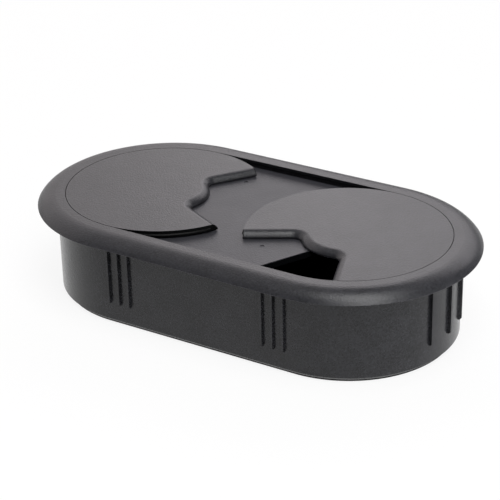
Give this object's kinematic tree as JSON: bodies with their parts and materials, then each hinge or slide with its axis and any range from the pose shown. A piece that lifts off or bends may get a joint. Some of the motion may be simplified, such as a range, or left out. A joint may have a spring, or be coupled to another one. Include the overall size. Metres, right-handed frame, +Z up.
{
  "type": "oval cable grommet",
  "caption": "Oval desk cable grommet: flanged sleeve with grip ribs and round notched covers that turn to open or close a way through for cables.",
  "frame": {"origin": "middle of the oval at the level of the sleeve's bottom edge", "axes": "+X along the oval, +Y across it, +Z up out of the desk top; the pictured front is towards -Y"},
  "size_m": [0.145, 0.08, 0.0318],
  "materials": {
    "housing_plastic": "matte black moulding with a fine spark-eroded texture",
    "cover_plastic": "matte black moulding with a fine spark-eroded texture"
  },
  "bodies": {
    "housing": {"housing": "housing_plastic"},
    "left_cover": {"left_cover": "cover_plastic"},
    "right_cover": {"right_cover": "cover_plastic"}
  },
  "joints": [
    {"name": "left_cover_turn", "type": "hinge", "parent": "housing", "child": "left_cover", "pos_m": [-0.0325, 0, 0.0297], "axis": [0, 0, 1], "continuous": true},
    {"name": "right_cover_turn", "type": "hinge", "parent": "housing", "child": "right_cover", "pos_m": [0.0325, 0, 0.0297], "axis": [0, 0, 1], "continuous": true}
  ]
}
